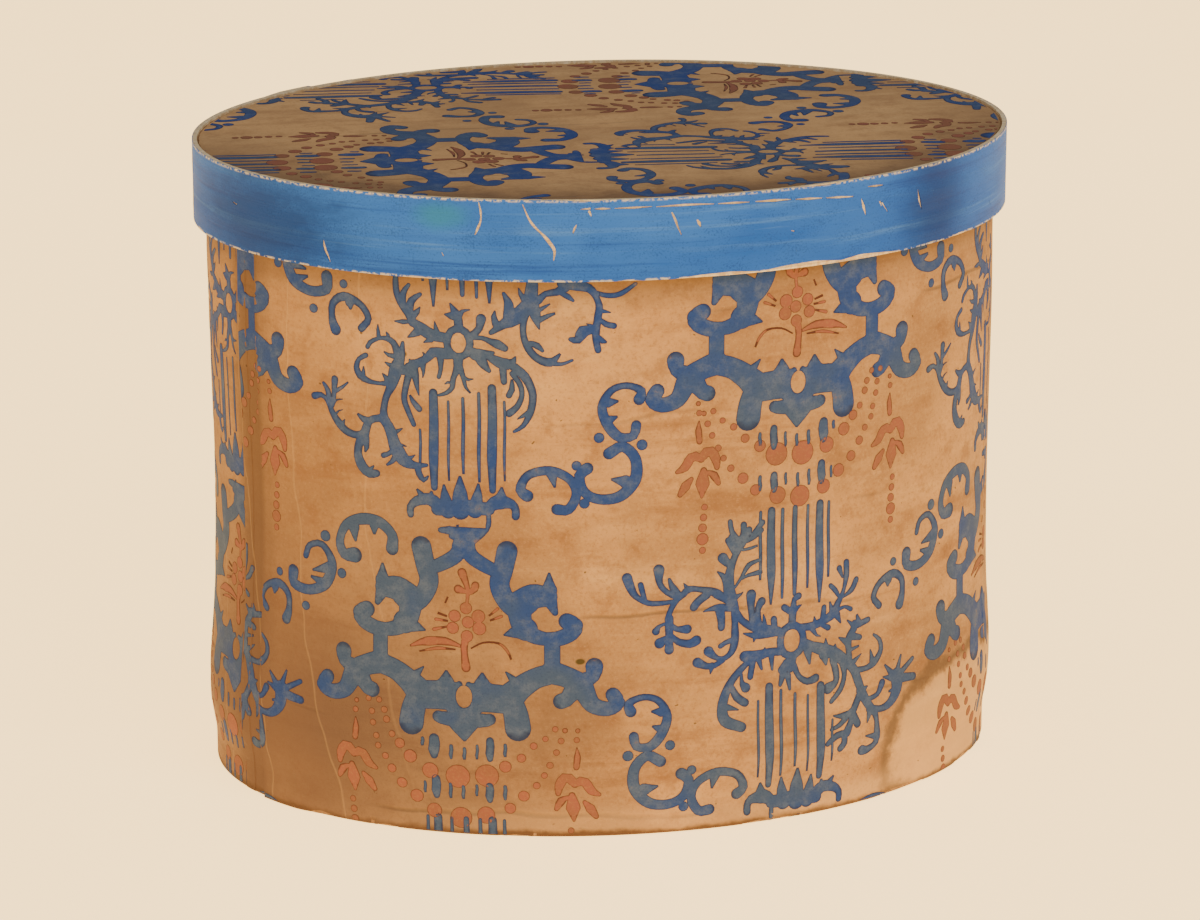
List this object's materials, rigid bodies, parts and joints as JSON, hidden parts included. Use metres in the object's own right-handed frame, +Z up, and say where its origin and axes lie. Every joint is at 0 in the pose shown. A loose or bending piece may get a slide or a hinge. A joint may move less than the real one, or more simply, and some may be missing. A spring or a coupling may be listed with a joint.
{
  "type": "hat box",
  "caption": "Oval pasteboard hat box covered in block-printed wallpaper, with a lift-off lid whose deep rim is papered in blue; open and empty inside, lined in plain paper.",
  "frame": {"origin": "centre of the underside, on the surface the box stands on", "axes": "+X along the oval's long axis, -Y towards the front, +Z up and along the lid's lift"},
  "size_m": [0.435, 0.333, 0.34],
  "materials": {
    "pasteboard": "bare pulp board, matt",
    "linen_thread": "waxed linen",
    "printed_wallpaper": "block-printed in matt distemper colours, aged to tan",
    "blue_paper": "painted, slight sheen",
    "lining_paper": "plain rag paper, matt"
  },
  "bodies": {
    "box": {"wall_board": "pasteboard", "bottom_board": "pasteboard", "wall_lap_thread": "linen_thread", "bottom_thread": "linen_thread", "wallpaper_front": "printed_wallpaper", "wallpaper_back_left": "printed_wallpaper", "wallpaper_back_right": "printed_wallpaper", "base_paper": "lining_paper", "wall_lining_front": "lining_paper", "wall_lining_back": "lining_paper", "floor_lining": "lining_paper"},
    "lid": {"lid_rim_board": "pasteboard", "lid_top_board": "pasteboard", "lid_lap_thread": "linen_thread", "lid_top_thread": "linen_thread", "lid_wallpaper": "printed_wallpaper", "lid_rim_paper": "blue_paper", "lid_rim_lining": "lining_paper", "lid_top_lining": "lining_paper"}
  },
  "joints": [
    {"name": "lid_lift", "type": "slide", "parent": "box", "child": "lid", "axis": [0, 0, 1], "range_m": [0, 0.15]}
  ]
}
